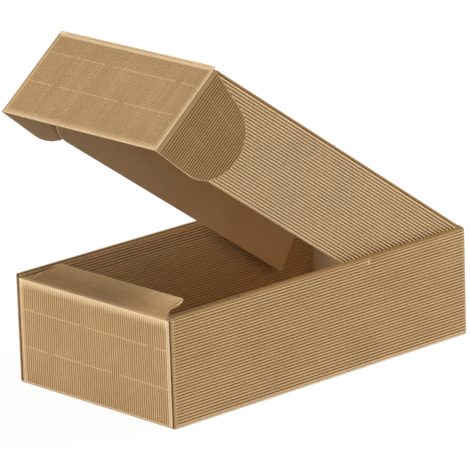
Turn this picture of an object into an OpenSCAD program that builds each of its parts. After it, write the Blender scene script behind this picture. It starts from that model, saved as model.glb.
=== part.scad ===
// Gift box for two bottles, folded from one sheet of open-flute corrugated card.
// Millimetres, +Z up. The front wall faces -Y, the lid's hinge is at +Y, and the
// origin is the middle of the base's underside. The lid is drawn part open.

/* [Tray] */
// Outside length, front wall to back wall
tray_l = 344; // [280:1:420]
// Outside width
tray_w = 195; // [150:1:260]
// Height to the top of the long walls
tray_h = 97; // [70:1:140]
// How far the front wall's top fold lies below the long walls' tops
front_drop = 4; // [3:0.5:15]
// Outside thickness of a rolled long wall
roll_w = 7; // [6.5:0.5:12]
// Length of the corner tabs hidden in the long walls
tab_l = 45; // [20:1:65]

/* [Card] */
// Thickness of the smooth liner
liner_t = 0.5; // [0.3:0.1:0.8]
// Height of the flutes above the liner
flute_h = 1; // [0.5:0.1:1.4]
// Spacing of the flutes, rounded to a whole number across each panel
flute_pitch = 2.55; // [2:0.05:5]
// Share of the pitch that is flat crest
crest_share = 0.36; // [0.2:0.02:0.6]
// Thickness of the card where a fold has crushed its flutes
crushed_t = 1.2; // [0.8:0.1:1.4]
// Inside radius of a sharp fold
fold_r = 0.5; // [0.3:0.1:1.5]

/* [Front flap] */
// Depth from its fold to its free edge
front_flap_d = 34; // [20:1:50]
// Angle above level
front_flap_rise = 13; // [0:1:15]
// Distance from the front wall's end to the flap's side edge at the fold
front_flap_inset = 4; // [4:0.5:10]
// How far each side edge slants in beside the fold, to let the lid's side flaps by
front_flap_notch = 9; // [8.5:0.5:12]
// Depth of that slant
front_flap_notch_d = 13; // [10:1:15]
// How far each side edge slants in from there to the free edge
front_flap_slant = 2; // [2:0.5:10]
// Radius of its free corners
front_flap_r = 6; // [2:0.5:12]

/* [Lid] */
// Angle that the lid stands open
lid_open = 35; // [25:1:60]
// Depth of the side flaps
side_flap_d = 82; // [40:1:85]
// Angle that the side flaps lean in
side_flap_lean = 5; // [0:0.5:5]
// Distance from the lid's front fold to the top of a side flap's front edge
side_flap_setback = 11; // [11:1:60]
// How far a side flap's front edge slants back
side_flap_slant = 14; // [0:1:30]
// Radius of a side flap's lower front corner
side_flap_r = 24; // [5:1:30]

/* [Lid front] */
// Depth of the lid's front panel
lid_front_d = 88; // [84:1:90]
// Angle that the panel stands out past square
lid_front_splay = 16; // [0:1:30]
// How far the ears reach back
ear_reach = 76; // [60:1:80]
// How far below the panel's fold the ears start
ear_drop = 1.5; // [1.5:0.5:6]
// Radius of the ear's upper rear corner
ear_top_r = 32; // [10:1:36]
// Radius of the ear's lower rear corner
ear_bottom_r = 42; // [15:1:46]
// Slope of the ear's upper edge
ear_top_slope = 4; // [0:1:6]
// Slope of the ear's lower edge
ear_bottom_slope = 12; // [2:1:14]

/* [Fits] */
// Width of the slot that takes an ear
ear_slot = 2.2; // [2.1:0.1:3]
// Room between parts that move past each other
clearance = 0.35; // [0.3:0.05:0.6]
// Gap between the lid's front panel and the front wall when shut
front_gap = 0.8; // [0.5:0.1:2]

/* [Hidden] */

kraft = [0.76, 0.61, 0.44];
kraft_shade = [0.70, 0.55, 0.39];
board = liner_t + flute_h;

// Longer than any part, for shapes that cut right through
big = 1000;
// Lets a cut pass a surface that it shares
cut_over = 1;
// Points nearer than this are one point
same_point = 0.001;
// Finest angle of a bend, and steps in a rounded corner
bend_step = 15;
corner_steps = 8;

// Fold beads: each panel ends in a round bead on its fold's axis
bead_inset = 0.05;
bead_r = board / 2 - bead_inset;
past_bead = board / 2 + clearance;
bead_fn = 48;

// Long walls, measured inwards from the outer face
tab_drop = 1;
slot_drop = 0.5;
slot_over = 4;
roll_r = roll_w / 2 - board;
wall_top = tray_h - roll_r - crushed_t;
inner_ply_bottom = board + clearance;
front_half = tray_w / 2 - board - ear_slot;
ear_half = tray_w / 2 - board - (ear_slot - board) / 2;
tab_h = wall_top - tab_drop;

// Fold axes
hinge_y = tray_l / 2 - board / 2;
hinge_z = tray_h;
front_flap_y = -tray_l / 2 + board / 2;
front_flap_z = tray_h - front_drop;
lid_fold_y = -tray_l / 2 - front_gap - board / 2;
lid_l = hinge_y - lid_fold_y;

// Lid, measured on its closed place
hinge_room = 2;
lid_half = tray_w / 2 - roll_w - clearance;
flap_turn = 90 + side_flap_lean;
side_flap_rear = board + hinge_room;
ear_slot_l = ear_reach + slot_over;

// Directions across a folded sheet, whose outside lies to the left of its heading
function ahead(a) = [cos(a), sin(a)];
function outward(a) = [-sin(a), cos(a)];
function odd(n) = 2 * floor(n / 2) + 1;

// A straight fluted run: its outside points, and its end
function run_out(p, a, l) =
    let (n = odd(l / flute_pitch), q = l / n)
    [for (i = [0 : n - 1], k = [0 : 2])
        let (s = i + [0, (1 - crest_share) / 2, (1 + crest_share) / 2][k])
        p + s * q * ahead(a) + (k == 0 ? liner_t : board) * outward(a),
     p + l * ahead(a) + liner_t * outward(a)];
function run_end(p, a, l) = p + l * ahead(a);

// A fold to the right about its liner side: its outside and inside points, and its end
function bend_centre(p, a, r) = p - r * outward(a);
function bend_points(p, a, r, turn, t) =
    let (steps = ceil(turn / bend_step), c = bend_centre(p, a, r))
    [for (i = [0 : steps]) c + (r + t) * outward(a - turn * i / steps)];
function bend_end(p, a, r, turn) = bend_centre(p, a, r) + r * outward(a - turn);

// A sheet is a list of moves from a start: [length, 0, 0] runs straight, [0, radius, turn] bends
function step_end(p, a, m) = m[2] == 0 ? run_end(p, a, m[0]) : bend_end(p, a, m[1], m[2]);
function step_out(p, a, m) =
    m[2] == 0 ? run_out(p, a, m[0]) : bend_points(p, a, m[1], m[2], crushed_t);
function step_in(p, a, m) =
    m[2] == 0 ? [p, run_end(p, a, m[0])] : bend_points(p, a, m[1], m[2], 0);
function walk(p, a, moves, i = 0) =
    i == len(moves) ? [] :
    let (m = moves[i])
    concat([[p, a]], walk(step_end(p, a, m), a - m[2], moves, i + 1));
function joined(lists) = [for (l = lists, p = l) p];
function backwards(l) = [for (i = [len(l) - 1 : -1 : 0]) l[i]];
function apart(l) =
    [for (i = [0 : len(l) - 1]) if (norm(l[i] - l[(i + 1) % len(l)]) > same_point) l[i]];
function sheet_points(p, a, moves) =
    let (at = walk(p, a, moves), last = len(moves) - 1)
    apart(concat(
        joined([for (i = [0 : last]) step_out(at[i][0], at[i][1], moves[i])]),
        backwards(joined([for (i = [0 : last]) step_in(at[i][0], at[i][1], moves[i])]))));

// Section across the base and the long walls, in X and Z
module tray_section() {
    outer = wall_top - board - fold_r;
    inner = wall_top - inner_ply_bottom;
    base = tray_w - 2 * board - 2 * fold_r;
    start = [tray_w / 2 - board - 2 * roll_r, inner_ply_bottom];
    polygon(sheet_points(start, 90, [
        [inner, 0, 0], [0, roll_r, 180], [outer, 0, 0], [0, fold_r, 90],
        [base, 0, 0],
        [0, fold_r, 90], [outer, 0, 0], [0, roll_r, 180], [inner, 0, 0]]));
}

// Section across a panel with a leg folded back at each end, in X and Y, outside at y = 0
module panel_section(half, leg) {
    span = 2 * (half - board - fold_r);
    start = [half - board, board + fold_r + leg];
    polygon(sheet_points(start, -90, [
        [leg, 0, 0], [0, fold_r, 90], [span, 0, 0], [0, fold_r, 90], [leg, 0, 0]]));
}

// Section across the lid top and its side flaps, in X and Z, middle of the top at z = 0
module lid_section() {
    top = 2 * (lid_half - board - fold_r);
    corner = [-top / 2, -board / 2 - fold_r];
    drop = side_flap_d - board - fold_r;
    start = corner + fold_r * outward(flap_turn) - drop * ahead(flap_turn);
    polygon(sheet_points(start, flap_turn, [
        [drop, 0, 0], [0, fold_r, flap_turn], [top, 0, 0], [0, fold_r, flap_turn],
        [drop, 0, 0]]));
}

// Places a section in X and Z along Y
module along_y(from, to) {
    translate([0, to, 0]) rotate([90, 0, 0]) linear_extrude(to - from) children();
}

// Places an outline in Y and Z right across X
module across_x() {
    translate([-big / 2, 0, 0]) rotate([90, 0, 90]) linear_extrude(big) children();
}

// A round bead along X, with its axis at y and z
module bead(half, y, z) {
    translate([-half, y, z]) rotate([0, 90, 0])
        cylinder(r = bead_r, h = 2 * half, $fn = bead_fn);
}

// An outline with its corners rounded, from a few corners [point, radius]
function corner_arc(before, at, after, r) =
    let (u = (before - at) / norm(before - at), v = (after - at) / norm(after - at),
         half = acos(max(-1, min(1, u * v))) / 2,
         back = r / tan(half),
         mid = (u + v) / norm(u + v),
         c = at + mid * r / sin(half),
         p = at + u * back - c, q = at + v * back - c)
    [for (i = [0 : corner_steps])
        let (d = p * (corner_steps - i) + q * i)
        c + r * d / norm(d)];
function rounded(corners) =
    let (n = len(corners))
    joined([for (i = [0 : n - 1])
        corners[i][1] == 0 ? [corners[i][0]] :
        corner_arc(corners[(i + n - 1) % n][0], corners[i][0], corners[(i + 1) % n][0],
                   corners[i][1])]);

// An end wall that stands on the base's front edge, with its tabs in the long walls
module end_wall(h) {
    fold_at = board / 2 + bead_inset / 2;
    intersection() {
        translate([0, -tray_l / 2, board - liner_t / 2])
            linear_extrude(h - board + liner_t / 2)
                panel_section(front_half, tab_l);
        across_x() {
            translate([-tray_l / 2 - cut_over, 0])
                square([cut_over + board + fold_r, big]);
            translate([-tray_l / 2, inner_ply_bottom])
                square([tray_l / 2, tab_h - inner_ply_bottom]);
        }
    }
    bead(front_half - board, -tray_l / 2 + fold_at, fold_at);
    bead(front_half - board, -tray_l / 2 + board / 2, h);
}

module tray() color(kraft) {
    end = tray_l / 2 - board + liner_t / 2;
    difference() {
        along_y(-end, end) tray_section();
        for (side = [-1, 1])
            translate([side * (tray_w / 2 - board - ear_slot / 2) - ear_slot / 2,
                       -tray_l / 2 - cut_over, wall_top - slot_drop])
                cube([ear_slot, ear_slot_l + cut_over, big]);
    }
    end_wall(front_flap_z);
    mirror([0, 1, 0]) end_wall(hinge_z);
}

module front_flap() color(kraft_shade) {
    half = front_half - front_flap_inset;
    waist = half - front_flap_notch;
    tip = waist - front_flap_slant;
    span = 2 * half;
    translate([0, front_flap_y, front_flap_z]) rotate([front_flap_rise, 0, 0])
        intersection() {
            along_y(past_bead, front_flap_d)
                translate([0, -board / 2])
                    polygon(sheet_points([-span / 2, 0], 0, [[span, 0, 0]]));
            translate([0, 0, -big / 2]) linear_extrude(big)
                polygon(rounded([
                    [[-half, 0], 0], [[half, 0], 0],
                    [[waist, front_flap_notch_d], 0],
                    [[tip, front_flap_d], front_flap_r],
                    [[-tip, front_flap_d], front_flap_r],
                    [[-waist, front_flap_notch_d], 0]]));
        }
}

// The lid on its closed place, with its hinge on the X axis
module lid_closed() {
    front = -lid_l;
    intersection() {
        along_y(front, -past_bead) lid_section();
        across_x() {
            translate([front, -board / 2])
                square([lid_l, 2 * board]);
            polygon(rounded([
                [[front + side_flap_setback, 0], 0],
                [[front + side_flap_setback + side_flap_slant, -side_flap_d], side_flap_r],
                [[-side_flap_rear, -side_flap_d], 0],
                [[-side_flap_rear, 0], 0]]));
        }
    }
    bead(ear_half - board, front, 0);
}

module lid() color(kraft)
    translate([0, hinge_y, hinge_z]) rotate([-lid_open, 0, 0]) lid_closed();

// The lid's front panel on its closed place, with its fold on the X axis
module lid_front_closed() {
    ear_top = -ear_drop - ear_reach * tan(ear_top_slope);
    ear_bottom = -lid_front_d + ear_reach * tan(ear_bottom_slope);
    // The two corners share the ear's rear edge, so they shrink if it is too short for both
    corners_l = ear_top_r * tan(45 - ear_top_slope / 2)
        + ear_bottom_r * tan(45 - ear_bottom_slope / 2);
    fit = min(1, (ear_top - ear_bottom) / (corners_l + cut_over));
    intersection() {
        translate([0, -board / 2, -lid_front_d])
            linear_extrude(lid_front_d - past_bead)
                panel_section(ear_half, ear_reach);
        across_x() {
            translate([-board, -lid_front_d]) square([2 * board, lid_front_d]);
            polygon(rounded([
                [[0, -ear_drop], 0], [[0, -lid_front_d], 0],
                [[ear_reach, ear_bottom], fit * ear_bottom_r],
                [[ear_reach, ear_top], fit * ear_top_r]]));
        }
    }
}

module lid_front() color(kraft_shade)
    translate([0, hinge_y, hinge_z]) rotate([-lid_open, 0, 0])
        translate([0, -lid_l, 0]) rotate([-lid_front_splay, 0, 0]) lid_front_closed();

tray();
front_flap();
lid();
lid_front();
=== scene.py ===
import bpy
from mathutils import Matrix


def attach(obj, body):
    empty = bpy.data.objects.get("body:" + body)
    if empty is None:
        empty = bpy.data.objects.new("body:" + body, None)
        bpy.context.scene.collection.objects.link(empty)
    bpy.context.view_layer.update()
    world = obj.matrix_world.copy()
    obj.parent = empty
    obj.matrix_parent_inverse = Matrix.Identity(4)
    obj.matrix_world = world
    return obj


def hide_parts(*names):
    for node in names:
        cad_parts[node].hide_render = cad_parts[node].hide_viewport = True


bl_info = {
    "name": "Open-flute bottle gift box",
    "version": (1, 0, 0),
    "blender": (4, 5, 0),
    "location": "View3D > Sidebar > Gift box",
    "description": "Cuts and folds a bottle gift box from open-flute card over its solid model",
    "category": "Add Mesh",
}

import math

import bmesh
import bpy
from bpy.props import FloatProperty, FloatVectorProperty, PointerProperty
from mathutils import Matrix, Vector

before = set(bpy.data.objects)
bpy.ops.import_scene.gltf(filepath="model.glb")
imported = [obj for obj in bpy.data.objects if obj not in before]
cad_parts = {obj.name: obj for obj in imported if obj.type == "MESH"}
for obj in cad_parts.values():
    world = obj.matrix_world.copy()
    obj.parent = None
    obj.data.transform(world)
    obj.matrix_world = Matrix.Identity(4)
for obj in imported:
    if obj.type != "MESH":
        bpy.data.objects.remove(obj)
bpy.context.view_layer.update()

MM = 0.001
NEAR = 0.02 * MM
CUT_NEAR = NEAR / 4

# Steps and angles of curves
WAVE_STEPS = 8
ARC_STEPS = 8
FOLD_STEPS = 4
SIDE_STEPS = 6
ROLL_STEPS = 12
EDGE_STEPS = 8
FOOT_STEPS = 5
BEAD_SIDES = 20
SHEET_PARTS = 8
LINER_STEP = 20 * MM
EDGE_ROLL = math.pi * 0.9
SMOOTH_ANGLE = math.radians(52)

# Levels towards which flutes are pressed, as shares of their crushed height
ROW_LEVEL = 0.6
END_LEVEL = 0.85
LINE_LEVEL = 0.9
BAND_LEVEL = 0.8

# Least mark and added mark of each place on the fluted paper. A valley has 0 and a crest 1; marks
# above 1 are paler, towards the rubbed colour, and marks below 0 darker, towards the painted shade
# colour. The pale marks are rubbed paper at cuts, presses and folds, but the inner ply and side
# flap marks are painted light, and the foot line is a pale fold painted lighter in its shade. The
# outer ply, front flap and ear marks are painted shade
MARKS = {
    "cut rim": (1.2, 0.6),
    "pressed row": (0.9, 0.5),
    "pressed line": (1.05, 0),
    "crushed end": (0.6, 0.2),
    "rolled edge": (1.5, 0),
    "wall top": (1.6, 0),
    "under wall top": (0.3, 0.75),
    "wall corner": (0.8, 0.6),
    "wall foot": (1.6, 0),
    "dent": (1.8, 0),
    "outer ply": (0, -0.12),
    "inner ply": (0.55, 0.35),
    "foot line": (1.3, 0),
    "front flap": (-1, -0.3),
    "lid top": (0, -0.2),
    "side flap": (0.6, 0.4),
    "lid front": (0, -0.06),
    "fold band": (1.45, 0),
    "free edge": (1.8, 0),
    "crease margin": (1.1, 0),
    "ear": (0, -0.3),
    "ear line": (0.4, 0.1),
}

# How far the marks of a place move away from 1, as a share of their distance from it. This darkens
# the painted shade in the valleys, and on the upper inner ply it makes the painted light paler
# still
DEEPER = {"end wall": 0.5, "upper inner ply": 1.1, "front flap": 0.9, "ear": 0.25}

# The single mark of each strip that is flattened. Marks above 1 are pale crushed folds, and the
# side fold and crease side marks below 0 are painted shade beside the folds
STRIPS = {
    "wall corner": 1.6,
    "base fold": 1.7,
    "side fold": -0.3,
    "lid bead": 1.3,
    "ear band": 0.35,
    "ear crease": 1.5,
    "crease side": -0.3,
}

# Start, end and mark of each band of a long wall's roll, from the outside in. On the flat sheet the
# right wall is on side -1 and the left wall on side 1. The bands are painted light and shade: dark
# bands where the lid and its side flap shade the roll, and pale bands of painted light on the left
# wall's inner top
ROLL_MARKS = {
    -1: ((0, 0.2, 0.4), (0.2, 1, -0.5)),
    1: ((0, 0.2, 0.4), (0.2, 0.4, -0.5), (0.4, 0.6, 1.7), (0.6, 0.75, -0.2), (0.75, 1, 1.2)),
}

# The two broken lines pressed across a panel: the ends of their dashes in mm from its left edge,
# half of their width, and their rows on the end walls and on the lid's front
DASHES = (
    ((6, 75), (84, 161), (168, 187)),
    ((5, 35), (43, 115), (124, 183)),
)
LINE_HALF = 0.9 * MM
WALL_LINES = (66.5 * MM, 33.5 * MM)
LID_LINES = (-21.5 * MM, -52.5 * MM)

# Finishes of a sheet's four slots: fluted side, liner side and the raw edges of both papers
FINISHES = ("Fluted kraft", "Kraft liner", "Cut edge", "Cut edge")

# Patterns of the paper: scales, and factor and offset of each tone
FIBRE_SCALE = (1500, 420, 900)
SPECK_SCALE = (900, 500, 900)
SPECK_LEAST, SPECK_GAIN, SPECK_SHARE = 0.68, 8, 0.35
CLOUD_SCALE = 22
STREAK_SCALE = (420, 9, 1)
GRAIN_TONE = (0.5, 0.75)
CLOUD_TONE = (0.24, 0.88)
STREAK_TONE = (0.4, -0.2)
LINER_TONE = (0.03, 0.97)
PAPER_SHEEN = 0.05
FIBRE_HEIGHT = 0.2 * MM

# Floor, room and lamps, where each lamp has its place, size and power
FLOOR_SIZE = 8
FLOOR_GREY = 0.3
FLOOR_GLOW, FLOOR_SHARE = 1.25, 0.75
ROOM_LIGHT = 0.40
WHITE = (1, 1, 1, 1)
LAMP_AIM = (0, 0, 0.12)
LAMPS = {
    "key_lamp": ((1.7, 4.5, 2.7), 2.6, 356),
    "side_lamp": ((3.0, -0.9, 0.55), 1.0, 6),
    "front_lamp": ((-0.4, -2.6, 0.6), 1.4, 48),
}

# Camera: the photograph's side and the place in it, in pixels, of a point on the box's axis
PHOTO_SIDE = 470
AIM_POINT = (0, 0, 0.08)
AIM_PIXEL = (243.08, 268.49)
PIXELS_PER_METRE = 1173.0
CAMERA_DISTANCE = 4.0
SENSOR_WIDTH = 36
CLIP_END = 20


def length(name, about, mm):
    return FloatProperty(name=name, description=about, default=mm * MM, unit="LENGTH", precision=5)


def turn(name, about, degrees):
    return FloatProperty(
        name=name, description=about, default=math.radians(degrees), subtype="ANGLE"
    )


def paint(name, about, red, green, blue):
    def linear(v):
        v /= 255
        return v / 12.92 if v <= 0.04045 else ((v + 0.055) / 1.055) ** 2.4

    return FloatVectorProperty(
        name=name,
        description=about,
        default=(linear(red), linear(green), linear(blue)),
        size=3,
        subtype="COLOR",
        min=0,
        max=1,
    )


class CardStock(bpy.types.PropertyGroup):
    """The open-flute card: a smooth liner with a row of paper waves glued to its outside."""

    board: length("Card thickness", "Liner and flutes together", 1.5)
    paper: length("Paper thickness", "Thickness of the liner and of the fluted paper", 0.3)
    valley: length("Valley height", "Height of the flutes' valleys over the inside face", 0.45)
    crushed: length("Crushed height", "Height of the fluted paper that a fold presses flat", 1.3)
    pitch: length("Flute pitch", "Distance from crest to crest", 2.55)
    wave: FloatProperty(
        name="Flute shape",
        description="Above 1 for narrow crests, below 1 for broad ones",
        default=0.85,
    )
    rim: length("Pale rim", "Width of the rubbed paper along a cut edge", 0.7)
    fold: length("Fold radius", "Inside radius of a sharp fold", 0.5)
    bead: length("Fold bead", "Outside radius of the card where a hinge folds it", 0.7)
    past_bead: length("Panel start", "Distance from a hinge's axis to the next panel", 1.1)


class TraySizes(bpy.types.PropertyGroup):
    """The tray: base, rolled long walls and end walls."""

    tray_l: length("Length", "Outside length", 344)
    tray_w: length("Width", "Outside width", 195)
    tray_h: length("Height", "Height of the long walls", 97)
    front_h: length("Front wall height", "Height of the front wall's top fold", 93)
    roll: length("Roll radius", "Inside radius of a long wall's rolled top", 2)
    wall_top: length("Roll height", "Height at which a long wall starts to roll over", 93.8)
    ply_gap: length("Inner ply gap", "Height of the inner ply's lower edge", 1.85)
    slot_w: length("Slot width", "Width of the slot that takes an ear of the lid", 2.2)
    slot_l: length("Slot length", "Length of that slot from the front", 80)
    tab_l: length("Tab length", "Length of the corner tabs inside the long walls", 45)
    tab_h: length("Tab height", "Height of the corner tabs", 92.8)
    nick: length("Nick", "Where the right wall is dented under its roll, from the middle", 56)
    nick_d: length("Nick depth", "How far that dent reaches down the wall", 3.2)


class LidSizes(bpy.types.PropertyGroup):
    """The lid, its side flaps, its front panel with two ears, and the tray's front flap."""

    lid_half: length("Half width", "Half of the lid's width over its side flaps", 90.15)
    lid_l: length("Length", "Distance between the lid's two fold axes", 344.8)
    opening: turn("Opening", "Angle at which the lid stands open", 35)
    side_d: length("Side flap depth", "Depth of the lid's side flaps", 82)
    side_fold: length("Side fold radius", "Inside radius of the fold along a side flap", 1.5)
    side_lean: turn("Side flap lean", "Angle at which the side flaps lean in", 5)
    side_setback: length("Side flap setback", "Distance from the front fold to a side flap", 11)
    side_slant: length("Side flap slant", "How far a side flap's front edge slants back", 14)
    side_r: length("Side flap corner", "Radius of a side flap's lower front corner", 24)
    front_d: length("Front panel depth", "Depth of the lid's front panel", 88)
    splay: turn("Front panel splay", "Angle at which the front panel stands out", 16)
    ear_half: length("Ear half width", "Half of the front panel's width over its ears", 95.65)
    ear_reach: length("Ear reach", "How far the ears reach back", 76)
    ear_drop: length("Ear drop", "How far an ear starts below the front panel's fold", 1.5)
    ear_band: length("Ear band", "Width of the smooth band beside an ear's crease", 4.4)
    ear_top_slope: turn("Ear upper slope", "Slope of an ear's upper edge", 4)
    ear_low_slope: turn("Ear lower slope", "Slope of an ear's lower edge", 12)
    ear_top_r: length("Ear upper corner", "Radius of an ear's upper corner", 32)
    ear_low_r: length("Ear lower corner", "Radius of an ear's lower corner", 42)
    flap_half: length("Front flap half width", "Half of the front flap's width at its fold", 89.8)
    flap_d: length("Front flap depth", "Depth of the front flap", 34)
    flap_notch: length("Front flap notch", "Depth at which the front flap is at its narrowest", 13)
    flap_waist: length("Front flap waist", "How much each side narrows over that depth", 9)
    flap_slant: length("Front flap slant", "How much each side narrows after it", 2)
    flap_r: length("Front flap corner", "Radius of the front flap's corners", 6)
    flap_rise: turn("Front flap rise", "Angle at which the front flap rises", 13)


class KraftColours(bpy.types.PropertyGroup):
    """Colours of the natural brown card, with the colours of its painted shade and painted light.
    """

    crest: paint("Crest", "Top of a flute", 219, 184, 139)
    # Painted shade: flute valleys are drawn in this darker colour, and crests in the crest colour
    valley: paint("Valley", "Paper between two flutes", 158, 119, 72)
    # Painted shade: marks below 0 blend to this colour in the end walls' and ears' valleys, on the
    # front flap, in bands on the rolled wall tops and beside folds
    shaded: paint("Shaded", "Paper darkened where a fold is crushed", 116, 90, 58)
    # Marks above 1 blend to this colour: rubbed paper at cuts, presses and folds, and painted light
    # on the side flaps, the inner plies, the left wall's roll and the wall foot
    rubbed: paint("Rubbed", "Paper rubbed pale at folds and cut edges", 250, 226, 188)
    # The liner colour is partly the smooth kraft's own lighter tone and partly painted light,
    # lifted for the inside faces, which lie in shade
    liner: paint("Liner", "Smooth inside face", 226, 198, 160)
    edge: paint("Cut edge", "Raw edge of the paper", 212, 172, 124)
    fibre: paint("Fibre", "Dark fibres in the paper", 128, 92, 55)


def pick(test):
    """Selects the points that pass a test, with what lies between them."""
    bpy.ops.mesh.select_all(action="DESELECT")
    mesh = bmesh.from_edit_mesh(bpy.context.object.data)
    for point in mesh.verts:
        if test(point.co):
            point.select = True
    mesh.select_flush(True)


def pick_flat(test):
    """Selects points by where they lay on the flat sheet."""
    bpy.ops.mesh.select_all(action="DESELECT")
    mesh = bmesh.from_edit_mesh(bpy.context.object.data)
    flat = mesh.verts.layers.float_vector["flat"]
    for point in mesh.verts:
        if test(point[flat]):
            point.select = True
    mesh.select_flush(True)


def remember_flat():
    """Keeps each point's place on the flat sheet, for folding and for the paper's pattern."""
    mesh = bmesh.from_edit_mesh(bpy.context.object.data)
    flat = mesh.verts.layers.float_vector.new("flat")
    for point in mesh.verts:
        point[flat] = point.co


def remember_crests():
    """Keeps how far each point stands up a flute, which a later press doesn't change."""
    card = bpy.context.scene.card_stock
    mesh = bmesh.from_edit_mesh(bpy.context.object.data)
    # This mark later blends the colour from the painted valley shade to the crest colour
    crest = mesh.verts.layers.float.new("crest")
    for point in mesh.verts:
        up = (point.co.z - card.valley) / (card.crushed - card.valley)
        point[crest] = min(1.0, max(0.0, up))


def whiten(place):
    """Changes the crest marks of what is selected: pressed flutes lose the painted shade of their
    valleys, marks above 1 are paler, for rubbed paper and for painted light, and marks below 0 are
    darker, as painted shade."""
    least, more = MARKS[place]
    mesh = bmesh.from_edit_mesh(bpy.context.object.data)
    crest = mesh.verts.layers.float["crest"]
    for point in mesh.verts:
        if point.select:
            point[crest] = max(point[crest] + more, least)


def deepen(place):
    """Moves the marks of what is selected away from 1: deeper painted shade in the valleys, and
    paler marks above 1.
    """
    amount = DEEPER[place]
    mesh = bmesh.from_edit_mesh(bpy.context.object.data)
    crest = mesh.verts.layers.float["crest"]
    for point in mesh.verts:
        if point.select:
            point[crest] -= amount * (1 - point[crest])


def shade_strip(amount):
    """Sets the crest mark of what is selected to one amount."""
    mesh = bmesh.from_edit_mesh(bpy.context.object.data)
    crest = mesh.verts.layers.float["crest"]
    for point in mesh.verts:
        if point.select:
            point[crest] = amount


def squash(share, level):
    """Presses what is selected towards a level, down to a share of its height."""
    bpy.ops.transform.resize(value=(1, 1, share), center_override=(0, 0, level))


def turn_about(centre, axis, angle):
    """Turns what is selected about an axis through a point."""
    bpy.ops.transform.rotate(
        value=-angle, orient_axis=axis, orient_type="GLOBAL", center_override=centre
    )


def add_patch(x0, x1, y0, y1, columns, height):
    """Adds a flat patch of paper between two columns and two rows, and leaves it selected."""
    bpy.ops.mesh.primitive_grid_add(x_subdivisions=columns, y_subdivisions=1, size=1)
    if bpy.context.mode == "OBJECT":
        bpy.ops.object.mode_set(mode="EDIT")
        bpy.ops.mesh.select_mode(type="VERT")
        bpy.ops.mesh.select_all(action="SELECT")
    bpy.ops.transform.resize(value=(abs(x1 - x0), y1 - y0, 1), center_override=(0, 0, 0))
    bpy.ops.transform.translate(value=((x0 + x1) / 2, (y0 + y1) / 2, height))


def raise_columns(x0, x1, columns, lifts):
    """Lifts the columns of the patch between two edges, where lifts repeat along it."""
    step = (x1 - x0) / columns
    slack = 0.1
    over_liner = bpy.context.scene.card_stock.valley / 2
    for lift in sorted(set(lifts)):
        if lift == 0:
            continue

        def in_column(co):
            along = (co.x - x0) / step
            if not (-slack < along < columns + slack) or co.z < over_liner:
                return False
            return lifts[round(along) % len(lifts)] == lift

        pick(in_column)
        bpy.ops.transform.translate(value=(0, 0, lift))


def draw_sheet(name, runs, y0, y1):
    """Draws a flat sheet with its flutes up and along Y. Each run is (x0, x1, steps), where
    steps is 0 for a fluted panel and counts the strips of a fold."""
    card = bpy.context.scene.card_stock
    bpy.ops.object.select_all(action="DESELECT")
    turns = [2 * math.pi * k / WAVE_STEPS for k in range(WAVE_STEPS)]
    wave = [(0.5 - 0.5 * math.cos(angle)) ** card.wave for angle in turns]
    rise = card.board - card.valley
    for x0, x1, steps in runs:
        add_patch(x0, x1, y0, y1, steps or max(1, round((x1 - x0) / LINER_STEP)), 0)
        bpy.ops.mesh.flip_normals()
    sheet = bpy.context.object
    sheet.name = sheet.data.name = name
    for _ in FINISHES:
        bpy.ops.object.material_slot_add()
    mesh = bmesh.from_edit_mesh(sheet.data)
    for face in mesh.faces:
        face.material_index = 1
    for x0, x1, steps in runs:
        count = 2 * int((x1 - x0) / card.pitch / 2) + 1
        columns = steps or WAVE_STEPS * count
        add_patch(x0, x1, y0, y1, columns, card.valley)
        mesh = bmesh.from_edit_mesh(sheet.data)
        for face in mesh.faces:
            if face.select:
                face.material_index = 0
        if steps:
            lift = card.crushed - card.valley
            raise_columns(x0, x1, columns, [0] + [lift] * (steps - 1))
        else:
            raise_columns(x0, x1, columns, [round(rise * w, 7) for w in wave])
    bpy.ops.mesh.select_all(action="SELECT")
    bpy.ops.mesh.remove_doubles(threshold=NEAR)
    remember_crests()
    return sheet


def cut_row(y):
    """Adds a row of points across the flat sheet."""
    bpy.ops.mesh.select_all(action="SELECT")
    bpy.ops.mesh.bisect(plane_co=(0, y, 0), plane_no=(0, 1, 0), threshold=CUT_NEAR)


def cut_parts(y0, y1):
    """Adds rows of points that divide the flat sheet into equal lengths."""
    for k in range(1, SHEET_PARTS):
        cut_row(y0 + (y1 - y0) * k / SHEET_PARTS)


def trim(point, outward, zone):
    """Cuts off what lies beyond a line on the flat sheet, within a zone of columns."""
    across = Vector((outward[0], outward[1], 0)).normalized()
    pick(zone)
    bpy.ops.mesh.bisect(
        plane_co=(point[0], point[1], 0), plane_no=across, clear_outer=True, threshold=CUT_NEAR
    )


def rounded(corners):
    """Points of an outline, from corners (x, y, radius)."""
    points = []
    for i, (x, y, radius) in enumerate(corners):
        at = Vector((x, y))
        if radius == 0:
            points.append(at)
            continue
        before = (Vector(corners[i - 1][:2]) - at).normalized()
        after = (Vector(corners[i + 1][:2]) - at).normalized()
        half = before.angle(after) / 2
        centre = at + (before + after).normalized() * radius / math.sin(half)
        start = at + before * radius / math.tan(half) - centre
        end = at + after * radius / math.tan(half) - centre
        for k in range(ARC_STEPS + 1):
            arm = start * (ARC_STEPS - k) + end * k
            points.append(centre + arm.normalized() * radius)
    return points


def on_side(points, side):
    """Mirrors an outline for side -1, and keeps it anticlockwise."""
    return points if side > 0 else [Vector((-p.x, p.y)) for p in reversed(points)]


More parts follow.
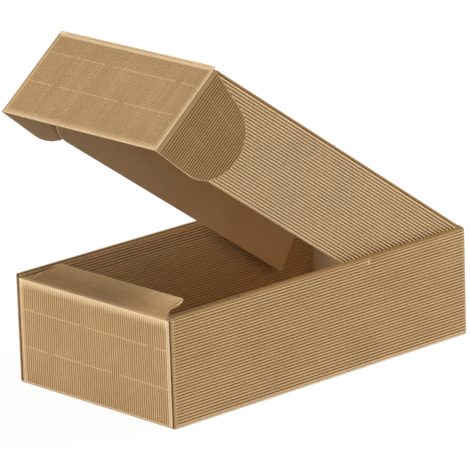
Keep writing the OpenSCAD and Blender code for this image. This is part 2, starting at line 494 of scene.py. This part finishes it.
def cut_outline(points, zone):
    """Trims along a convex chain of points, which runs anticlockwise, and marks its pale rim."""
    rim = bpy.context.scene.card_stock.rim
    lines = []
    for a, b in zip(points, points[1:]):
        along = b - a
        if along.length > NEAR:
            lines.append((a, Vector((along.y, -along.x)).normalized()))
    for a, outward in lines:
        trim(a, outward, zone)
        pick(zone)
        bpy.ops.mesh.bisect(
            plane_co=(*(a - outward * rim), 0), plane_no=(*outward, 0), threshold=CUT_NEAR
        )
    pick(lambda co: zone(co) and any((co.xy - a).dot(out) > NEAR - rim for a, out in lines))
    whiten("cut rim")


def fold(x0, x1, angle, steps):
    """Bends the card down over the strip between two columns, liner inside."""
    side = 1 if x1 > x0 else -1
    for i in range(steps, -1, -1):
        at = x0 + (x1 - x0) * i / steps
        share = angle / steps * (0.5 if i in (0, steps) else 1)
        pick_flat(lambda co: side * (co.x - at) > NEAR)
        turn_about((at, 0, 0), "Y", side * share)


def press_row(y, depth, zone=lambda co: True):
    """Presses the flutes of one row, down to a share of their height."""
    card = bpy.context.scene.card_stock
    pick(lambda co: abs(co.y - y) < NEAR and co.z > card.valley / 2 and zone(co))
    squash(depth, card.crushed * ROW_LEVEL)
    whiten("pressed row")


def crush_end(end):
    """Flattens the flutes at both ends of the sheet, as the die does where it cuts across them."""
    card = bpy.context.scene.card_stock
    flat_row, fade_row = end - 1.2 * MM, end - 3.5 * MM
    for y in (-flat_row, -fade_row, fade_row, flat_row):
        cut_row(y)
    pick(lambda co: abs(co.y) > flat_row - NEAR and co.z > card.valley / 2)
    squash(share=0.25, level=card.crushed * END_LEVEL)
    whiten("crushed end")


def press_lines(rows, left):
    """Presses two broken lines across the flutes, whose gaps don't lie side by side."""
    card = bpy.context.scene.card_stock
    for y, dashes in zip(rows, DASHES):
        for step in (-LINE_HALF, 0, LINE_HALF):
            cut_row(y + step)
        for start, end in dashes:
            pick(
                lambda co: abs(co.y - y) < NEAR
                and co.z > card.valley / 2
                and left + start * MM < co.x < left + end * MM
            )
            squash(share=0.5, level=card.crushed * LINE_LEVEL)
            whiten("pressed line")


def roll_edge(y, angle, zone):
    """Rolls the fluted paper over the edge at a row, round the middle of the card."""
    card = bpy.context.scene.card_stock
    pick(lambda co: abs(co.y - y) < NEAR and co.z > card.valley / 2 and zone(co))
    squash(share=0, level=card.board / 2 + card.bead)
    whiten("rolled edge")
    middle = (0, y, card.board / 2)
    bpy.ops.mesh.spin(steps=EDGE_STEPS, angle=angle, center=middle, axis=(1, 0, 0))


def roll_foot(low, zone):
    """Rolls the lower edge of an end wall under, to meet the base."""
    card = bpy.context.scene.card_stock
    middle = (0, low, 0.05 * MM)
    pick(lambda co: abs(co.y - low) < NEAR and co.z > card.valley / 2 and zone(co))
    bpy.ops.mesh.spin(steps=FOOT_STEPS, angle=math.pi / 2, center=middle, axis=(1, 0, 0))


def finish_sheet(sheet, place, body, nodes=()):
    """Gives the paper its thickness, puts the sheet in its place and hands it to its body."""
    card = bpy.context.scene.card_stock
    bpy.ops.object.mode_set(mode="OBJECT")
    bpy.ops.object.modifier_add(type="SOLIDIFY")
    paper = sheet.modifiers[-1]
    paper.thickness = card.paper
    paper.offset = -1
    paper.material_offset_rim = 2
    bpy.ops.object.modifier_apply(modifier=paper.name)
    bpy.ops.object.shade_smooth_by_angle(angle=SMOOTH_ANGLE)
    sheet.matrix_world = place
    bpy.ops.object.transform_apply(location=True, rotation=True, scale=True)
    for slot, finish in enumerate(FINISHES):
        sheet.material_slots[slot].material = bpy.data.materials[finish]
    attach(sheet, body)
    if nodes:
        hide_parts(*nodes)


def rx(angle):
    return Matrix.Rotation(angle, 4, "X")


def shift(x, y, z):
    return Matrix.Translation((x, y, z))


def end_wall(name, height, place):
    """Makes an end wall of the tray, with its two corner tabs folded back."""
    scene = bpy.context.scene
    card, size = scene.card_stock, scene.tray_sizes
    half = size.tray_w / 2 - card.board - size.slot_w
    flat = half - card.board - card.fold
    tab = flat + card.fold * math.pi / 2
    low = card.board
    foot_row, smooth_row = low + 1.2 * MM, height - 8.0 * MM
    fade_row, top_row = height - 3.2 * MM, height - 1.0 * MM
    corner = flat - 2.7 * MM
    sheet = draw_sheet(
        name,
        [
            (-tab - size.tab_l, -tab, 0),
            (-tab, -flat, FOLD_STEPS),
            (-flat, flat, 0),
            (flat, tab, FOLD_STEPS),
            (tab, tab + size.tab_l, 0),
        ],
        low,
        height,
    )
    for y in (foot_row, smooth_row, fade_row, top_row):
        cut_row(y)
    middle = lambda co: abs(co.x) < flat + NEAR
    # Painted shade: the end walls' flute valleys are darkened
    pick(middle)
    deepen("end wall")
    press_row(top_row, depth=0.5, zone=middle)
    pick(lambda co: middle(co) and co.y > top_row - NEAR)
    whiten("wall top")
    pick(lambda co: middle(co) and abs(co.y - fade_row) < NEAR)
    whiten("under wall top")
    pick(lambda co: corner < abs(co.x) < tab - NEAR)
    whiten("wall corner")
    pick(lambda co: flat + NEAR < abs(co.x) < tab - NEAR)
    shade_strip(STRIPS["wall corner"])
    pick(lambda co: middle(co) and co.y < low + NEAR)
    whiten("wall foot")
    for side in (-1, 1):
        beyond = lambda co: side * co.x > tab - NEAR
        trim((0, size.tab_h), (0, 1), beyond)
        trim((0, size.ply_gap), (0, -1), beyond)
    press_lines(WALL_LINES, -half)
    roll_edge(height, -EDGE_ROLL, middle)
    roll_foot(low, middle)
    remember_flat()
    fold(flat, tab, math.pi / 2, FOLD_STEPS)
    fold(-flat, -tab, math.pi / 2, FOLD_STEPS)
    stand = shift(0, -size.tray_l / 2 + card.board, 0) @ rx(math.pi / 2)
    finish_sheet(sheet, place @ stand, "tray")


class GIFTBOX_OT_kraft(bpy.types.Operator):
    """Mixes the finishes of the card"""

    bl_idname = "giftbox.kraft"
    bl_label = "Kraft finishes"

    def execute(self, context):
        make_finishes()
        return {"FINISHED"}


class GIFTBOX_OT_long_walls(bpy.types.Operator):
    """Folds the base and the two rolled long walls from one sheet"""

    bl_idname = "giftbox.long_walls"
    bl_label = "Base and long walls"

    def execute(self, context):
        card, size = context.scene.card_stock, context.scene.tray_sizes
        base = size.tray_w / 2 - card.board - card.fold
        foot = base + card.fold * math.pi / 2
        wall = foot + size.wall_top - card.board - card.fold
        roll = wall + size.roll * math.pi
        ply = roll + size.wall_top - size.ply_gap
        end = size.tray_l / 2 - card.board + card.paper
        sheet = draw_sheet(
            "tray_body",
            [
                (-ply, -roll, 0),
                (-roll, -wall, ROLL_STEPS),
                (-wall, -foot, 0),
                (-foot, -base, FOLD_STEPS),
                (-base, base, 0),
                (base, foot, FOLD_STEPS),
                (foot, wall, 0),
                (wall, roll, ROLL_STEPS),
                (roll, ply, 0),
            ],
            -end,
            end,
        )
        cut_parts(-end, end)
        crush_end(end)
        slot_end = size.slot_l - size.tray_l / 2
        cut_row(slot_end)
        nick_half, nick_fade = 0.5 * MM, 1.7 * MM
        for step in (-nick_fade, -nick_half, nick_half, nick_fade):
            cut_row(size.nick + step)
        pick(
            lambda co: abs(co.y - size.nick) < nick_half + NEAR
            and -wall - NEAR < co.x < -wall + size.nick_d
            and co.z > card.valley / 2
        )
        squash(share=0.25, level=card.valley)
        whiten("dent")
        # Painted light and shade in bands on the long walls' rolled tops
        for side, marks in ROLL_MARKS.items():
            for start, stop, mark in marks:
                pick(
                    lambda co: start * (roll - wall) + NEAR
                    < side * co.x - wall
                    < stop * (roll - wall) + NEAR
                )
                shade_strip(mark)
        upper_ply, foot_line = roll + 14 * MM, foot + 1.8 * MM
        # Painted shade: the long walls' outer faces are toned a little darker
        pick(lambda co: foot + NEAR < abs(co.x) < wall - NEAR)
        whiten("outer ply")
        # Painted light: the inner plies are lifted paler inside the shaded box
        pick(lambda co: abs(co.x) > roll + NEAR)
        whiten("inner ply")
        # Painted light on the crests and painted shade in the valleys of the inner plies' top bands
        pick(lambda co: roll + NEAR < abs(co.x) < upper_ply)
        deepen("upper inner ply")
        # A pale line above the base fold, partly crushed paper and partly painted light where the
        # foot lies in shade
        pick(lambda co: foot - NEAR < abs(co.x) < foot_line)
        whiten("foot line")
        pick(lambda co: base + NEAR < abs(co.x) < foot - NEAR)
        shade_strip(STRIPS["base fold"])
        remember_flat()
        for side in (-1, 1):
            fold(side * wall, side * roll, math.pi, ROLL_STEPS)
            fold(side * base, side * foot, math.pi / 2, FOLD_STEPS)
        slot_out = size.tray_w / 2 - card.board - NEAR
        slot_in = size.tray_w / 2 - card.board - size.slot_w
        near_slot = slot_in - 5 * MM
        rim = card.board - size.wall_top + 0.5 * MM
        for side in (-1, 1):
            for x in (slot_in, slot_out):
                pick(
                    lambda co: side * co.x > near_slot
                    and co.z < rim + MM
                    and co.y < slot_end + NEAR
                )
                bpy.ops.mesh.bisect(
                    plane_co=(side * x, 0, 0), plane_no=(side, 0, 0), threshold=CUT_NEAR
                )
            pick(
                lambda co: slot_in - NEAR / 2 < side * co.x < slot_out + NEAR / 2
                and co.z < rim
                and co.y < slot_end + NEAR
            )
            bpy.ops.mesh.delete(type="FACE")
        place = shift(0, 0, card.board) @ Matrix.Rotation(math.pi, 4, "Y")
        finish_sheet(sheet, place, "tray", ["tray"])
        return {"FINISHED"}


class GIFTBOX_OT_end_walls(bpy.types.Operator):
    """Folds the front wall and the back wall with their corner tabs"""

    bl_idname = "giftbox.end_walls"
    bl_label = "Front and back walls"

    def execute(self, context):
        size = context.scene.tray_sizes
        end_wall("front_wall", size.front_h, Matrix.Identity(4))
        end_wall("back_wall", size.tray_h, Matrix.Rotation(math.pi, 4, "Z"))
        return {"FINISHED"}


class GIFTBOX_OT_front_flap(bpy.types.Operator):
    """Cuts the flap on the front wall's top fold"""

    bl_idname = "giftbox.front_flap"
    bl_label = "Front flap"

    def execute(self, context):
        scene = context.scene
        card, size, lid = scene.card_stock, scene.tray_sizes, scene.lid_sizes
        half = lid.flap_half
        sheet = draw_sheet("front_flap_card", [(-half, half, 0)], card.past_bead, lid.flap_d)
        fold_row, rim_row = card.past_bead + 1.6 * MM, lid.flap_d - 1.5 * MM
        notch = lid.flap_notch
        waist = half - lid.flap_waist
        tip = waist - lid.flap_slant
        cut_row(fold_row)
        cut_row(notch)
        near = lambda co: co.y < notch + NEAR
        far = lambda co: co.y > notch - NEAR
        for side in (-1, 1):
            trim((side * half, 0), (side * notch, half - waist), near)
        cut_outline(
            rounded(
                [
                    (waist, notch, 0),
                    (tip, lid.flap_d, lid.flap_r),
                    (-tip, lid.flap_d, lid.flap_r),
                    (-waist, notch, 0),
                ]
            ),
            far,
        )
        press_row(card.past_bead, depth=0.55)
        # Painted shade: the front flap is darkened where the open lid shades it
        pick(lambda co: card.past_bead + NEAR < co.y < rim_row)
        deepen("front flap")
        whiten("front flap")
        remember_flat()
        place = (
            shift(0, -size.tray_l / 2 + card.board / 2, size.front_h)
            @ rx(lid.flap_rise)
            @ shift(0, 0, -card.board / 2)
        )
        finish_sheet(sheet, place, "front_flap", ["front_flap"])
        return {"FINISHED"}


def lid_place():
    """Where the lid's hinge puts a sheet that lies level behind the hinge."""
    scene = bpy.context.scene
    card, size, lid = scene.card_stock, scene.tray_sizes, scene.lid_sizes
    return shift(0, size.tray_l / 2 - card.board / 2, size.tray_h) @ rx(-lid.opening)


class GIFTBOX_OT_lid(bpy.types.Operator):
    """Folds the lid top and its two side flaps from one sheet"""

    bl_idname = "giftbox.lid"
    bl_label = "Lid"

    def execute(self, context):
        card, lid = context.scene.card_stock, context.scene.lid_sizes
        angle = math.pi / 2 + lid.side_lean
        top = lid.lid_half - card.board - lid.side_fold
        flap = top + lid.side_fold * angle
        drop = flap + lid.side_d - card.board - lid.side_fold
        front, rear = -lid.lid_l, -card.past_bead
        sheet = draw_sheet(
            "lid_card",
            [
                (-drop, -flap, 0),
                (-flap, -top, SIDE_STEPS),
                (-top, top, 0),
                (top, flap, SIDE_STEPS),
                (flap, drop, 0),
            ],
            front,
            rear,
        )
        front_row, fade_row, hinge_row = front + 1.0 * MM, front + 2.6 * MM, rear - 1.5 * MM
        for y in (front_row, fade_row, hinge_row):
            cut_row(y)
        cut_parts(front, rear)
        middle = lambda co: abs(co.x) < top + NEAR
        pick(middle)
        whiten("lid top")
        press_row(front_row, depth=0.5, zone=middle)
        press_row(rear, depth=0.5, zone=middle)
        flap_front = front + lid.side_setback
        inside, lead, back = flap - 10 * MM, flap_front - 2 * MM, -3.5 * MM
        for side in (-1, 1):
            beyond = lambda co: side * co.x > flap - NEAR
            outline = rounded(
                [
                    (inside, lead, 0),
                    (drop, flap_front + lid.side_slant, lid.side_r),
                    (drop, back, 0),
                    (inside, back, 0),
                ]
            )
            cut_outline(on_side(outline, side), beyond)
            # Painted light: the side flaps are lifted paler
            pick(beyond)
            whiten("side flap")
            strip = lambda co: top - NEAR < side * co.x < flap + NEAR
            trim((0, flap_front), (0, -1), strip)
        # Painted shade: the fold strips along the side flaps are darkened
        pick(lambda co: top + NEAR < abs(co.x) < flap - NEAR)
        shade_strip(STRIPS["side fold"])
        roll_edge(front, EDGE_ROLL, middle)
        remember_flat()
        fold(top, flap, angle, SIDE_STEPS)
        fold(-top, -flap, angle, SIDE_STEPS)
        reach = lid.ear_half - card.board
        for side in (-1, 1):
            bpy.ops.mesh.primitive_cylinder_add(
                vertices=BEAD_SIDES,
                radius=card.bead,
                depth=reach - top,
                location=(side * (reach + top) / 2, front, card.board / 2),
                rotation=(0, math.pi / 2, 0),
            )
            shade_strip(STRIPS["lid bead"])
        finish_sheet(sheet, lid_place() @ shift(0, 0, -card.board / 2), "lid", ["lid"])
        return {"FINISHED"}


class GIFTBOX_OT_lid_front(bpy.types.Operator):
    """Folds the lid's front panel and its two ears from one sheet"""

    bl_idname = "giftbox.lid_front"
    bl_label = "Lid front panel"

    def execute(self, context):
        card, lid = context.scene.card_stock, context.scene.lid_sizes
        flat = lid.ear_half - card.board - card.fold
        ear = flat + card.fold * math.pi / 2
        tip = ear + lid.ear_reach
        low, top = -lid.front_d, -card.past_bead
        sheet = draw_sheet(
            "lid_front_card",
            [
                (-tip, -ear, 0),
                (-ear, -flat, FOLD_STEPS),
                (-flat, flat, 0),
                (flat, ear, FOLD_STEPS),
                (ear, tip, 0),
            ],
            low,
            top,
        )
        band_row, band_end = top - 2.6 * MM, top - 3.4 * MM
        edge_row, edge_end = low + 1.6 * MM, low + 6 * MM
        for y in (band_row, band_end, edge_row, edge_end):
            cut_row(y)
        middle = lambda co: abs(co.x) < flat + NEAR
        pick(middle)
        whiten("lid front")
        press_row(top, depth=0.2, zone=middle)
        press_row(band_row, depth=0.25, zone=middle)
        pick(lambda co: middle(co) and co.y > band_row - NEAR)
        whiten("fold band")
        press_row(low, depth=0.5, zone=middle)
        press_row(edge_row, depth=0.8, zone=middle)
        pick(lambda co: middle(co) and co.y < low + NEAR)
        whiten("free edge")
        # Painted shade: the ears are darkened, with deeper valleys
        pick(lambda co: abs(co.x) > ear + NEAR)
        whiten("ear")
        deepen("ear")
        pick(lambda co: ear - NEAR < abs(co.x) < ear + lid.ear_band and co.z > card.valley / 2)
        squash(share=0.2, level=card.crushed * BAND_LEVEL)
        shade_strip(STRIPS["ear band"])
        margin, margin_end = flat - 2.8 * MM, flat - 0.3 * MM
        pick(lambda co: margin < abs(co.x) < margin_end)
        whiten("crease margin")
        pick(lambda co: flat + NEAR < abs(co.x) < ear - NEAR)
        shade_strip(STRIPS["ear crease"])
        # Painted shade: thin dark lines along both sides of each ear's crease
        pick(lambda co: min(abs(abs(co.x) - flat), abs(abs(co.x) - ear)) < NEAR)
        shade_strip(STRIPS["crease side"])
        press_lines(LID_LINES, -lid.ear_half)
        line_start, line_end = ear + 14 * MM, tip - 20 * MM
        pick(
            lambda co: min(abs(co.y - y) for y in LID_LINES) < NEAR
            and line_start < abs(co.x) < line_end
        )
        whiten("ear line")
        high = -lid.ear_drop
        for side in (-1, 1):
            beyond = lambda co: side * co.x > ear - NEAR
            outline = rounded(
                [
                    (ear, low, 0),
                    (tip, low + lid.ear_reach * math.tan(lid.ear_low_slope), lid.ear_low_r),
                    (tip, high - lid.ear_reach * math.tan(lid.ear_top_slope), lid.ear_top_r),
                    (ear, high, 0),
                ]
            )
            cut_outline(on_side(outline, side), beyond)
            strip = lambda co: flat - NEAR < side * co.x < ear + NEAR
            trim((0, high), (0, 1), strip)
        remember_flat()
        fold(flat, ear, math.pi / 2, FOLD_STEPS)
        fold(-flat, -ear, math.pi / 2, FOLD_STEPS)
        place = (
            lid_place()
            @ shift(0, -lid.lid_l, 0)
            @ rx(-lid.splay)
            @ shift(0, card.board / 2, 0)
            @ rx(math.pi / 2)
        )
        finish_sheet(sheet, place, "lid_front", ["lid_front"])
        return {"FINISHED"}


def node(tree, kind, **inputs):
    """Adds a node and sets its inputs, each to a value or to another node's output."""
    made = tree.nodes.new(kind)
    for name, value in inputs.items():
        socket = made.inputs[int(name[1:])] if name[0] == "i" and name[1:].isdigit() else None
        socket = socket or made.inputs[name.replace("_", " ")]
        if isinstance(value, bpy.types.NodeSocket):
            tree.links.new(value, socket)
        else:
            socket.default_value = value
    return made


def math_node(tree, operation, a, b=0.0, c=0.0):
    made = node(tree, "ShaderNodeMath", i0=a, i1=b, i2=c)
    made.operation = operation
    return made.outputs[0]


def toned(tree, value, tone):
    """Scales and shifts a value by a tone's factor and offset."""
    return math_node(tree, "MULTIPLY_ADD", value, *tone)


def fibre_group():
    """Fine fibres and specks of unbleached paper, on the flat sheet."""
    group = bpy.data.node_groups.new("Paper fibres", "ShaderNodeTree")
    group.interface.new_socket("Vector", in_out="INPUT", socket_type="NodeSocketVector")
    group.interface.new_socket("Fibres", in_out="OUTPUT", socket_type="NodeSocketFloat")
    group.interface.new_socket("Specks", in_out="OUTPUT", socket_type="NodeSocketFloat")
    group.interface.new_socket("Cloud", in_out="OUTPUT", socket_type="NodeSocketFloat")
    start = group.nodes.new("NodeGroupInput")
    end = group.nodes.new("NodeGroupOutput")
    where = start.outputs[0]
    long_way = node(group, "ShaderNodeMapping", Vector=where, Scale=FIBRE_SCALE)
    fine = node(group, "ShaderNodeTexNoise", Vector=long_way.outputs[0], Scale=1, Detail=4)
    dots = node(group, "ShaderNodeMapping", Vector=where, Scale=SPECK_SCALE)
    speck = node(group, "ShaderNodeTexNoise", Vector=dots.outputs[0], Scale=1, Detail=1)
    dark = math_node(group, "SUBTRACT", speck.outputs[0], SPECK_LEAST)
    dark = math_node(group, "MULTIPLY", dark, SPECK_GAIN)
    cloud = node(group, "ShaderNodeTexNoise", Vector=where, Scale=CLOUD_SCALE, Detail=3)
    group.links.new(fine.outputs[0], end.inputs[0])
    clamp = node(group, "ShaderNodeClamp", Value=dark)
    group.links.new(clamp.outputs[0], end.inputs[1])
    group.links.new(cloud.outputs[0], end.inputs[2])
    return group


def mixed(tree, factor, a, b, blend="MIX"):
    made = tree.nodes.new("ShaderNodeMix")
    made.data_type = "RGBA"
    made.blend_type = blend
    for socket, value in ((made.inputs[0], factor), (made.inputs[6], a), (made.inputs[7], b)):
        if isinstance(value, bpy.types.NodeSocket):
            tree.links.new(value, socket)
        else:
            socket.default_value = value
    return made.outputs[2]


def shaded(tree, colour, amount):
    """Multiplies a colour by a grey."""
    grey = node(tree, "ShaderNodeCombineColor", Red=amount, Green=amount, Blue=amount)
    return mixed(tree, 1.0, colour, grey.outputs[0], "MULTIPLY")


def paper_finish(name, fibres, colour_of, bump, roughness):
    """Makes one paper finish, whose colour comes from a function of the flat sheet."""
    made = bpy.data.materials.new(name)
    made.use_nodes = True
    tree = made.node_tree
    shader = tree.nodes["Principled BSDF"]
    shader.inputs["Roughness"].default_value = roughness
    shader.inputs["Specular IOR Level"].default_value = PAPER_SHEEN
    sheet = tree.nodes.new("ShaderNodeAttribute")
    sheet.attribute_name = "flat"
    where = sheet.outputs["Vector"]
    paper = tree.nodes.new("ShaderNodeGroup")
    paper.node_tree = fibres
    tree.links.new(where, paper.inputs[0])
    colour = colour_of(tree, where)
    dark = (*bpy.context.scene.kraft_colours.fibre, 1)
    colour = shaded(tree, colour, toned(tree, paper.outputs["Fibres"], GRAIN_TONE))
    colour = shaded(tree, colour, toned(tree, paper.outputs["Cloud"], CLOUD_TONE))
    speck = math_node(tree, "MULTIPLY", paper.outputs["Specks"], SPECK_SHARE)
    colour = mixed(tree, speck, colour, dark)
    tree.links.new(colour, shader.inputs["Base Color"])
    relief = node(tree, "ShaderNodeBump", Strength=bump, Distance=FIBRE_HEIGHT)
    tree.links.new(paper.outputs["Fibres"], relief.inputs["Height"])
    tree.links.new(relief.outputs[0], shader.inputs["Normal"])


def make_finishes():
    """Fluted outside, smooth liner and raw cut edge."""
    scene = bpy.context.scene
    card, kraft = scene.card_stock, scene.kraft_colours
    fibres = fibre_group()

    def fluted(tree, where):
        crest = tree.nodes.new("ShaderNodeAttribute")
        crest.attribute_name = "crest"
        stretch = node(tree, "ShaderNodeMapping", Vector=where, Scale=STREAK_SCALE)
        uneven = node(tree, "ShaderNodeTexNoise", Vector=stretch.outputs[0], Scale=1, Detail=3)
        offset = toned(tree, uneven.outputs[0], STREAK_TONE)
        mark = math_node(tree, "ADD", crest.outputs["Fac"], offset)
        low = node(tree, "ShaderNodeClamp", Value=mark)
        # Painted shade: marks from 0 to 1 blend from the darker valley colour to the crest colour
        plain = mixed(tree, low.outputs[0], (*kraft.valley, 1), (*kraft.crest, 1))
        # Marks below 0 blend towards the shaded colour, a painted shade
        less = math_node(tree, "MULTIPLY", crest.outputs["Fac"], -1.0)
        deep = node(tree, "ShaderNodeClamp", Value=less)
        plain = mixed(tree, deep.outputs[0], plain, (*kraft.shaded, 1))
        # Marks above 1 blend towards the rubbed colour: rubbed paper, and painted light where a
        # place is lifted paler
        more = math_node(tree, "SUBTRACT", crest.outputs["Fac"], 1.0)
        high = node(tree, "ShaderNodeClamp", Value=more)
        return mixed(tree, high.outputs[0], plain, (*kraft.rubbed, 1))

    def liner(tree, where):
        split = node(tree, "ShaderNodeSeparateXYZ", Vector=where)
        phase = math_node(tree, "MULTIPLY", split.outputs[0], 2 * math.pi / card.pitch)
        line = toned(tree, math_node(tree, "COSINE", phase), LINER_TONE)
        return shaded(tree, (*kraft.liner, 1), line)

    def edge(tree, where):
        return (*kraft.edge, 1)

    paper_finish("Fluted kraft", fibres, fluted, bump=0.25, roughness=0.92)
    paper_finish("Kraft liner", fibres, liner, bump=0.15, roughness=0.72)
    paper_finish("Cut edge", fibres, edge, bump=0.4, roughness=0.95)


def seen_directly(tree):
    """1 where the camera, a reflection or glass shows something, and 0 where it only lights."""
    path = tree.nodes.new("ShaderNodeLightPath")
    shown = path.outputs["Is Camera Ray"]
    for kind in ("Is Glossy Ray", "Is Transmission Ray"):
        shown = math_node(tree, "MAXIMUM", shown, path.outputs[kind])
    return shown


def mix_shaders(tree, factor, first, second, output):
    """Sends a mix of two shaders to an output node."""
    mix = node(tree, "ShaderNodeMixShader", i0=factor, i1=first.outputs[0], i2=second.outputs[0])
    tree.links.new(mix.outputs[0], tree.nodes[output].inputs["Surface"])


def area_lamp(name, place, size, watts):
    bpy.ops.object.light_add(type="AREA", location=place)
    lamp = bpy.context.object
    lamp.name = name
    lamp.data.shape = "DISK"
    lamp.data.size = size
    lamp.data.energy = watts
    lamp.rotation_euler = (Vector(LAMP_AIM) - Vector(place)).to_track_quat("-Z", "Y").to_euler()


class GIFTBOX_OT_stage(bpy.types.Operator):
    """Sets the pale floor, the soft lamps and the camera"""

    bl_idname = "giftbox.stage"
    bl_label = "Stage"

    azimuth: FloatProperty(name="Azimuth", default=math.radians(47.3), subtype="ANGLE")
    elevation: FloatProperty(name="Elevation", default=math.radians(16.39), subtype="ANGLE")
    roll: FloatProperty(name="Roll", default=math.radians(-1.96), subtype="ANGLE")

    def execute(self, context):
        scene = context.scene
        scene.view_settings.view_transform = "Standard"
        bpy.ops.object.select_all(action="DESELECT")
        bpy.ops.mesh.primitive_plane_add(size=FLOOR_SIZE)
        floor = context.object
        floor.name = "floor"
        pale = bpy.data.materials.new("Pale floor")
        pale.use_nodes = True
        tree = pale.node_tree
        shader = tree.nodes["Principled BSDF"]
        shader.inputs["Base Color"].default_value = (FLOOR_GREY, FLOOR_GREY, FLOOR_GREY, 1)
        shader.inputs["Roughness"].default_value = 1
        glow = node(tree, "ShaderNodeEmission", Color=WHITE, Strength=FLOOR_GLOW)
        share = math_node(tree, "MULTIPLY", seen_directly(tree), FLOOR_SHARE)
        mix_shaders(tree, share, shader, glow, "Material Output")
        floor.data.materials.append(pale)

        world = bpy.data.worlds.new("Studio")
        world.use_nodes = True
        scene.world = world
        tree = world.node_tree
        room = tree.nodes["Background"]
        room.inputs["Color"].default_value = WHITE
        room.inputs["Strength"].default_value = ROOM_LIGHT
        white = node(tree, "ShaderNodeBackground", Color=WHITE, Strength=1)
        mix_shaders(tree, seen_directly(tree), room, white, "World Output")

        for name, (place, size, watts) in LAMPS.items():
            area_lamp(name, place, size, watts)

        back = Vector(
            (
                math.sin(self.azimuth) * math.cos(self.elevation),
                -math.cos(self.azimuth) * math.cos(self.elevation),
                math.sin(self.elevation),
            )
        )
        level = Vector((math.cos(self.azimuth), math.sin(self.azimuth), 0))
        above = back.cross(level)
        right = level * math.cos(self.roll) + above * math.sin(self.roll)
        up = above * math.cos(self.roll) - level * math.sin(self.roll)
        across = (PHOTO_SIDE / 2 - AIM_PIXEL[0]) / PIXELS_PER_METRE
        upward = (AIM_PIXEL[1] - PHOTO_SIDE / 2) / PIXELS_PER_METRE
        at = Vector(AIM_POINT) + right * across + up * upward
        bpy.ops.object.camera_add(location=at + back * CAMERA_DISTANCE)
        camera = context.object
        camera.rotation_euler = Matrix((right, up, back)).transposed().to_euler()
        camera.data.sensor_width = SENSOR_WIDTH
        camera.data.lens = SENSOR_WIDTH * CAMERA_DISTANCE * PIXELS_PER_METRE / PHOTO_SIDE
        camera.data.clip_end = CLIP_END
        scene.camera = camera
        return {"FINISHED"}


OPERATORS = (
    GIFTBOX_OT_kraft,
    GIFTBOX_OT_long_walls,
    GIFTBOX_OT_end_walls,
    GIFTBOX_OT_front_flap,
    GIFTBOX_OT_lid,
    GIFTBOX_OT_lid_front,
    GIFTBOX_OT_stage,
)


class GIFTBOX_PT_panel(bpy.types.Panel):
    """Lists the steps that build the box"""

    bl_idname = "GIFTBOX_PT_panel"
    bl_label = "Gift box"
    bl_space_type = "VIEW_3D"
    bl_region_type = "UI"
    bl_category = "Gift box"

    def draw(self, context):
        for step in OPERATORS:
            self.layout.operator(step.bl_idname)
        for group in GROUPS:
            owner = getattr(context.scene, group)
            for name in owner.__annotations__:
                self.layout.prop(owner, name)


GROUPS = {
    "card_stock": CardStock,
    "tray_sizes": TraySizes,
    "lid_sizes": LidSizes,
    "kraft_colours": KraftColours,
}


def register():
    for made in (*GROUPS.values(), *OPERATORS, GIFTBOX_PT_panel):
        bpy.utils.register_class(made)
    for name, group in GROUPS.items():
        setattr(bpy.types.Scene, name, PointerProperty(type=group))


def unregister():
    for name in GROUPS:
        delattr(bpy.types.Scene, name)
    for made in reversed((*GROUPS.values(), *OPERATORS, GIFTBOX_PT_panel)):
        bpy.utils.unregister_class(made)


def main():
    register()
    bpy.ops.giftbox.kraft()
    bpy.ops.giftbox.long_walls()
    bpy.ops.giftbox.end_walls()
    bpy.ops.giftbox.front_flap()
    bpy.ops.giftbox.lid()
    bpy.ops.giftbox.lid_front()
    bpy.ops.giftbox.stage()


if __name__ == "__main__":
    main()
